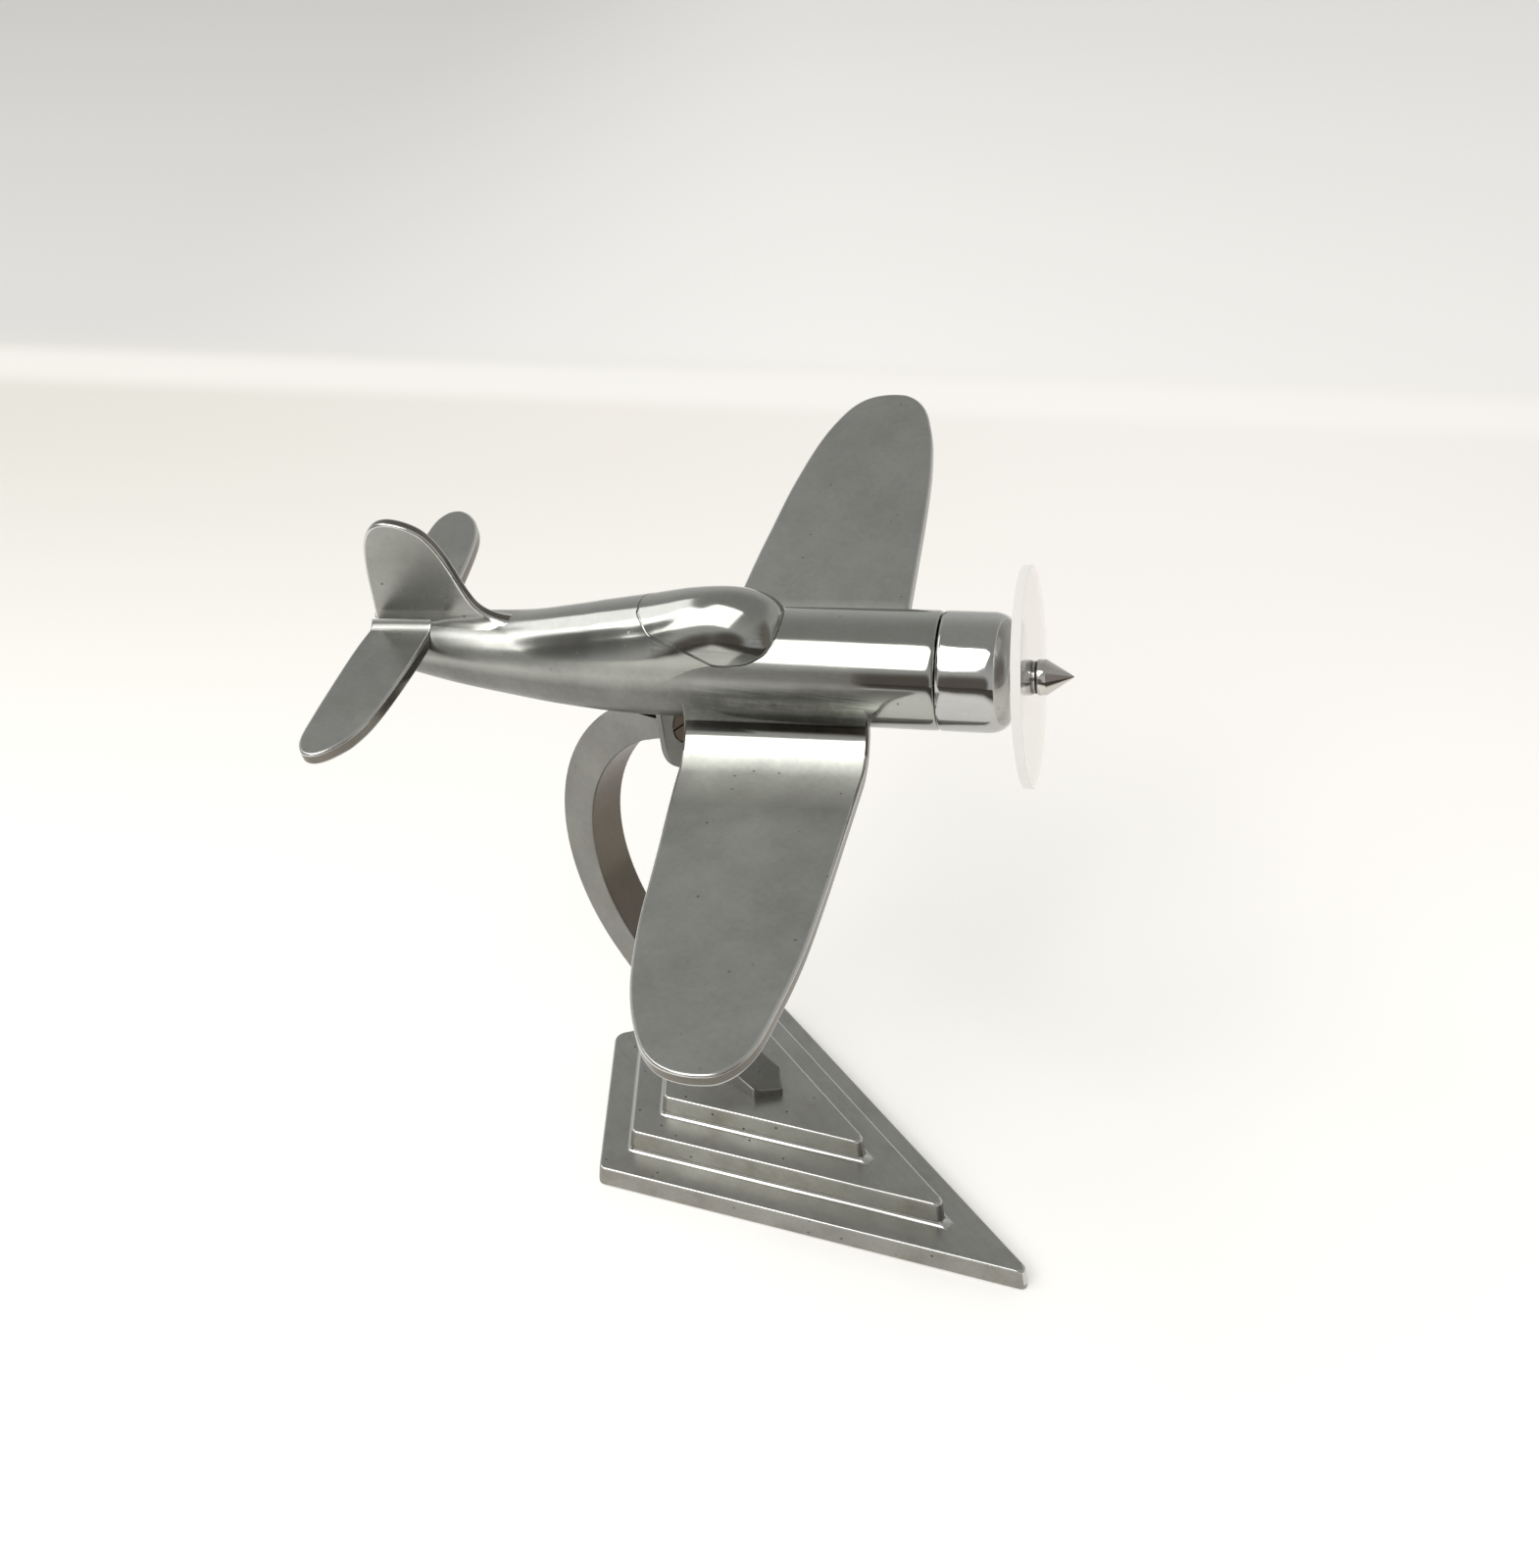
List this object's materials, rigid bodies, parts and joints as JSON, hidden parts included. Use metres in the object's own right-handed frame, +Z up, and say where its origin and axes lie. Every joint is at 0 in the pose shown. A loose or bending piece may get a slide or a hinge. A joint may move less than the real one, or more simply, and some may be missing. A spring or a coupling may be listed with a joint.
{
  "type": "airplane desk sculpture",
  "caption": "Cast aluminium airplane with a clear propeller disc, banking on a curved arm above a stepped, pointed base.",
  "frame": {"origin": "underside of the base, on its centre line at the widest station", "axes": "+Z up, +X along the base's centre line to the sharp tip, +Y to the airplane's port side"},
  "size_m": [0.2705, 0.2824, 0.2447],
  "materials": {
    "polished_aluminium": "hand-polished casting with fine scratches",
    "cast_aluminium": "brushed casting with small pits",
    "clear_acrylic": "clear sheet with a milky sawn edge",
    "machined_metal": "turned and buffed",
    "plain_steel": "turned",
    "brass_screw": "browned with age",
    "blackened_steel": "blackened",
    "green_felt": "pressed felt"
  },
  "bodies": {
    "stand": {"base_casting": "cast_aluminium", "base_felt": "green_felt", "arm_casting": "cast_aluminium", "arm_screws": "blackened_steel", "arm_washers": "plain_steel", "belly_screw": "brass_screw", "belly_washer": "plain_steel"},
    "airplane": {"airplane_casting": "polished_aluminium", "nose_cowl": "polished_aluminium", "prop_axle": "plain_steel", "thrust_washer": "plain_steel", "front_washer": "plain_steel", "spinner_nut": "machined_metal"},
    "propeller": {"hub_bushing": "machined_metal", "prop_disc": "clear_acrylic"}
  },
  "joints": [
    {"name": "airplane_bank", "type": "hinge", "parent": "stand", "child": "airplane", "pos_m": [0.00396, 0, 0.17885], "axis": [0.9903, 0, 0.1392], "range_deg": [-10, 10]},
    {"name": "prop_spin", "type": "hinge", "parent": "airplane", "child": "propeller", "pos_m": [0.1047, 0.0461, 0.2098], "axis": [0.9089, 0.384, 0.1623], "continuous": true}
  ]
}
